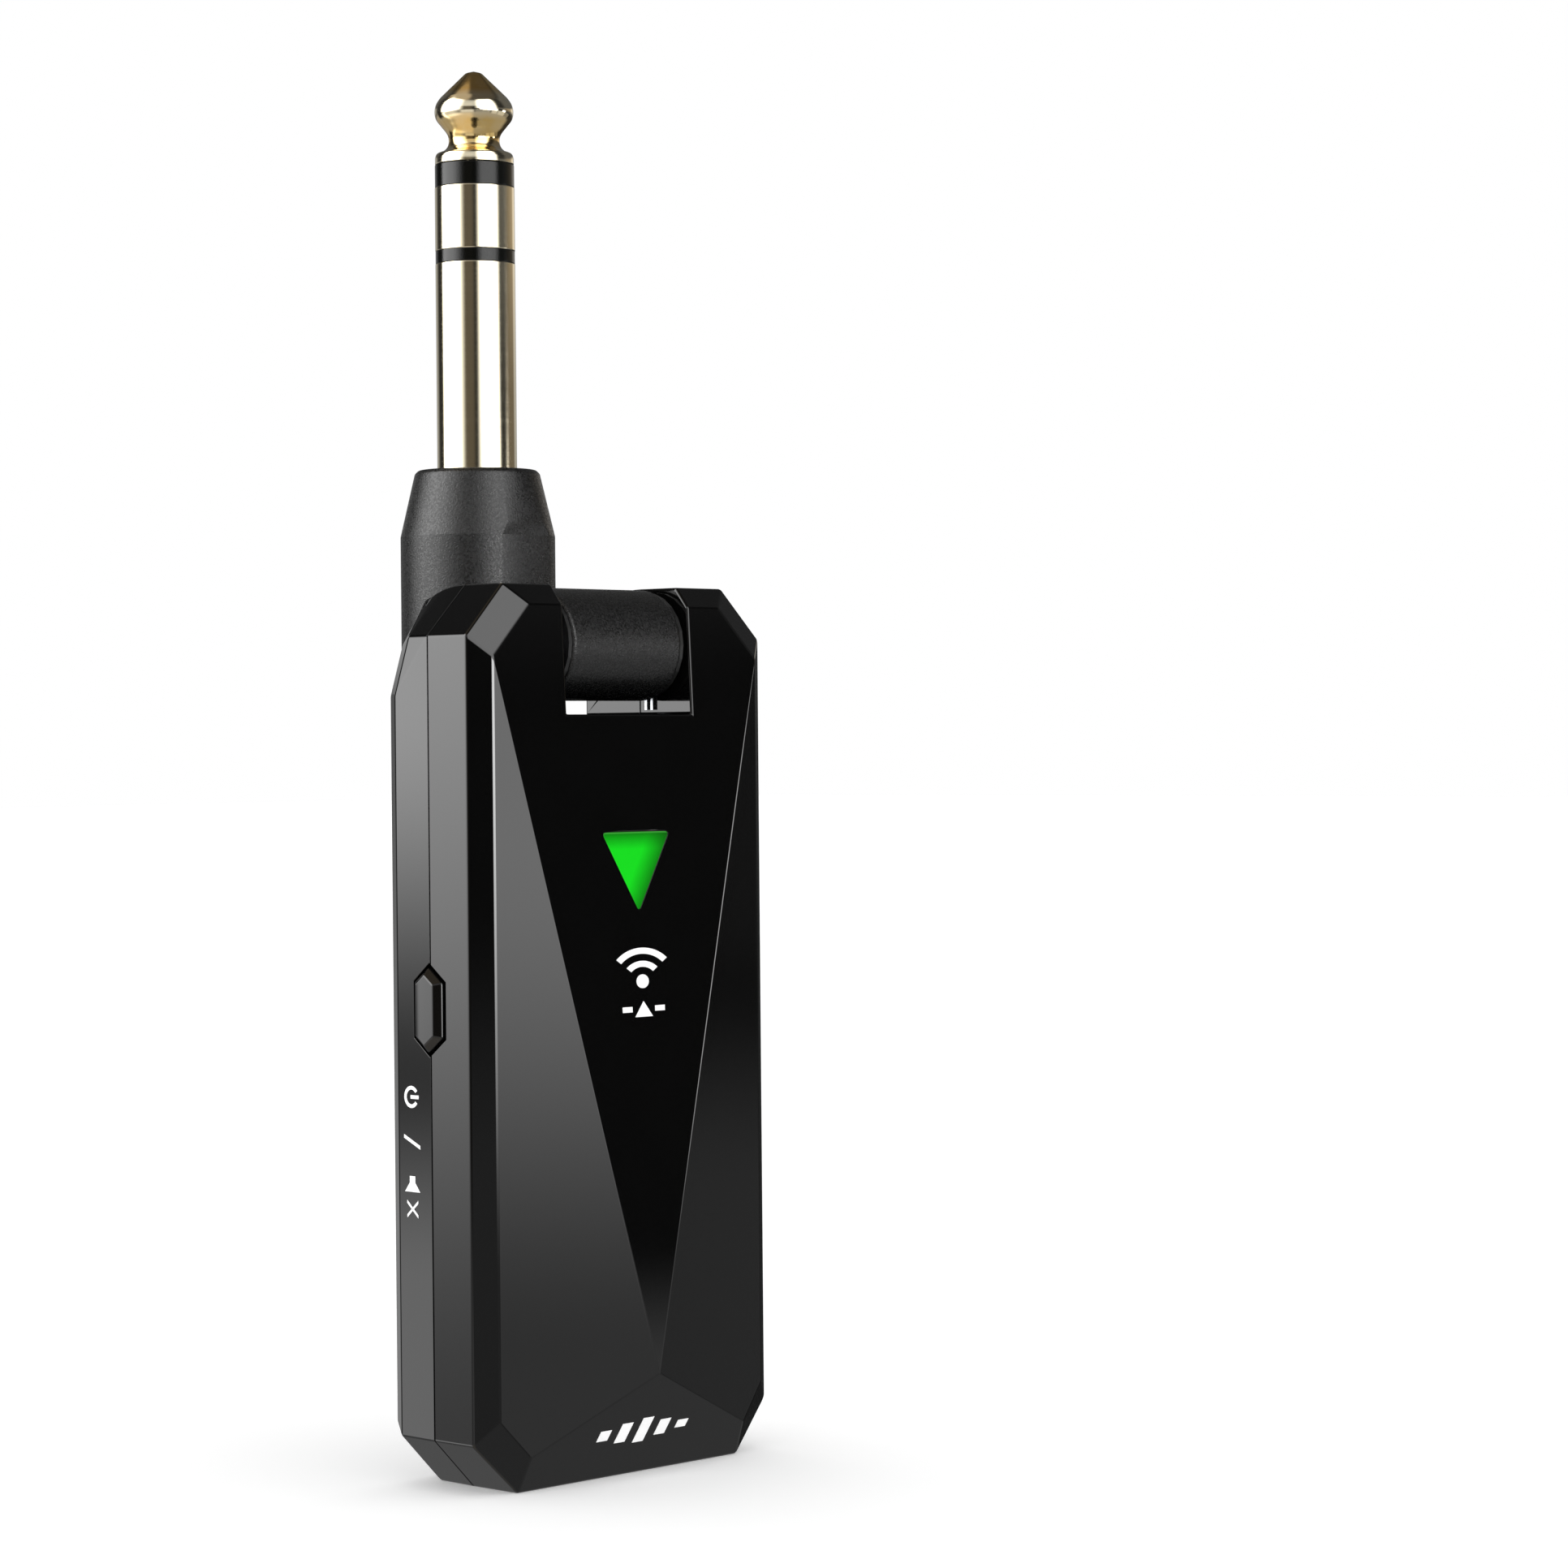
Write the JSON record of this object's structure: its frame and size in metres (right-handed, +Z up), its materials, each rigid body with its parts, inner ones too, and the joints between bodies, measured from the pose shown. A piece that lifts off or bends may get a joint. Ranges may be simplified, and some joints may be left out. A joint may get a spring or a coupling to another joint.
{
  "type": "wireless guitar transmitter",
  "caption": "Flat faceted plug-in radio transmitter with a folding jack plug on a hinge, a triangular status light and a side power button.",
  "frame": {"origin": "middle of the bottom face, midway between the flat front and back planes of the body", "axes": "+Z up the body and along the plug, -Y out of the lit front, +X to the side that holds the charging socket"},
  "size_m": [0.0322, 0.0258, 0.11],
  "materials": {
    "gloss_black": "piano black",
    "grained_black": "fine spark-eroded grain",
    "nylon_black": "smooth satin",
    "insulator": "satin",
    "nickel": "polished, warm",
    "steel": "plain",
    "gold": "plated",
    "green_lens": "lit, translucent",
    "white_plastic": "smooth",
    "board_green": "solder mask",
    "chip_black": "moulded",
    "foil": "satin foil",
    "tape": "foam tape",
    "red_wire": "smooth",
    "black_wire": "smooth",
    "white_wire": "smooth"
  },
  "bodies": {
    "housing": {"front_shell": "gloss_black", "rear_shell": "gloss_black", "led_lens": "green_lens", "light_shroud": "white_plastic", "status_led": "white_plastic", "switch_body": "chip_black", "main_board": "board_green", "radio_shield": "foil", "antenna": "steel", "control_chip": "chip_black", "audio_chip": "chip_black", "charging_socket": "steel", "socket_tongue": "nylon_black", "battery_cell": "foil", "battery_tape": "tape", "battery_socket": "white_plastic", "battery_lead_negative": "black_wire", "battery_lead_positive": "red_wire", "case_screw_1": "steel", "case_screw_2": "steel", "case_screw_3": "steel", "case_screw_4": "steel", "board_sleeve_wire": "black_wire", "board_tip_wire": "white_wire", "left_wave_spring": "steel", "right_wave_spring": "steel"},
    "plug_arm": {"plug_arm": "grained_black", "left_pivot": "steel", "right_pivot": "steel", "left_friction_washer": "nylon_black", "right_friction_washer": "nylon_black", "left_circlip": "steel", "right_circlip": "steel", "plug_tip": "nickel", "tip_insulator": "insulator", "plug_ring": "nickel", "ring_insulator": "insulator", "plug_sleeve": "nickel", "sleeve_terminal": "gold", "terminal_washer_1": "nylon_black", "ring_terminal": "gold", "terminal_washer_2": "nylon_black", "tip_terminal": "gold", "arm_sleeve_wire": "black_wire", "arm_tip_wire": "white_wire"},
    "power_button": {"power_button": "gloss_black"},
    "switch_plunger": {"switch_plunger": "white_plastic"}
  },
  "joints": [
    {"name": "plug_swing", "type": "hinge", "parent": "housing", "child": "plug_arm", "pos_m": [0, -0.00155, 0.0641], "axis": [1, 0, 0], "range_deg": [0, 180]},
    {"name": "button_press", "type": "slide", "parent": "housing", "child": "power_button", "axis": [1, 0, 0], "range_m": [0, 0.0003]},
    {"name": "plunger_press", "type": "slide", "parent": "housing", "child": "switch_plunger", "axis": [1, 0, 0], "range_m": [0, 0.0003]}
  ],
  "couplings": [
    {"joint": "plunger_press", "follows": "button_press", "ratio": 1}
  ]
}
